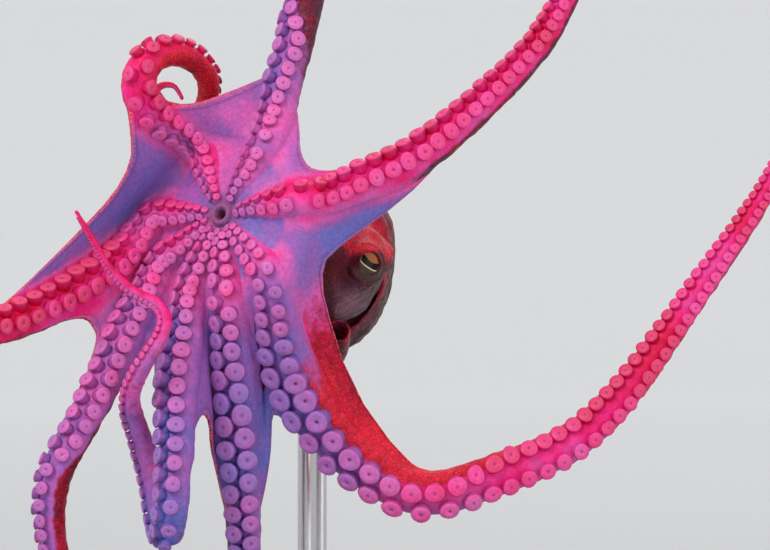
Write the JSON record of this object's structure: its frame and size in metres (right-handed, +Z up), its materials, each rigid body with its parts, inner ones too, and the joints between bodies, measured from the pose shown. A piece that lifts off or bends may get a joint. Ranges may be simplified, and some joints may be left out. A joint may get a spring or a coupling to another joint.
{
  "type": "octopus display model",
  "caption": "Life-size still model of a common octopus swimming with spread, webbed, suckered arms, on a flat base with rods.",
  "frame": {"origin": "centre of the stand base's underside", "axes": "+Z up, the octopus's mouth and suckers face -Y, its head and mantle lie towards +Y, and its left side is towards +X"},
  "size_m": [0.5909, 0.3952, 0.5625],
  "materials": {
    "oral_flesh": "moist satin flesh, pink and lilac, with paler suckers",
    "web": "moist satin membrane, lilac to blue-violet",
    "skin": "fine-grained satin skin, brick red with a dark network",
    "eye": "wet gloss, golden iris with a dark slit",
    "mouth": "moist satin lips round a dark beak",
    "stand_wood": "black stained, satin lacquer",
    "stand_steel": "brushed along the rod"
  },
  "bodies": {
    "root": {"arm_l1_base": "oral_flesh", "arm_l1_middle": "oral_flesh", "arm_l1_tip": "oral_flesh", "arm_l2_base": "oral_flesh", "arm_l2_middle": "oral_flesh", "arm_l2_tip": "oral_flesh", "arm_l3_base": "oral_flesh", "arm_l3_middle": "oral_flesh", "arm_l3_tip": "oral_flesh", "arm_l4_base": "oral_flesh", "arm_l4_middle": "oral_flesh", "arm_l4_tip": "oral_flesh", "arm_r4_base": "oral_flesh", "arm_r4_middle": "oral_flesh", "arm_r4_tip": "oral_flesh", "arm_r3_base": "oral_flesh", "arm_r3_middle": "oral_flesh", "arm_r3_tip": "oral_flesh", "arm_r2_base": "oral_flesh", "arm_r2_middle": "oral_flesh", "arm_r2_tip": "oral_flesh", "arm_r1_base": "oral_flesh", "arm_r1_middle": "oral_flesh", "arm_r1_tip": "oral_flesh", "web_l1_l2": "web", "web_l2_l3": "web", "web_l3_l4": "web", "web_l4_r4": "web", "web_r4_r3": "web", "web_r3_r2": "web", "web_r2_r1": "web", "web_r1_l1": "web", "crown": "oral_flesh", "mouth": "mouth", "head": "skin", "mantle": "skin", "funnel": "skin", "eye_left": "eye", "eye_right": "eye", "stand_base": "stand_wood", "stand_rod_mantle": "stand_steel", "stand_rod_head": "stand_steel"}
  },
  "joints": []
}
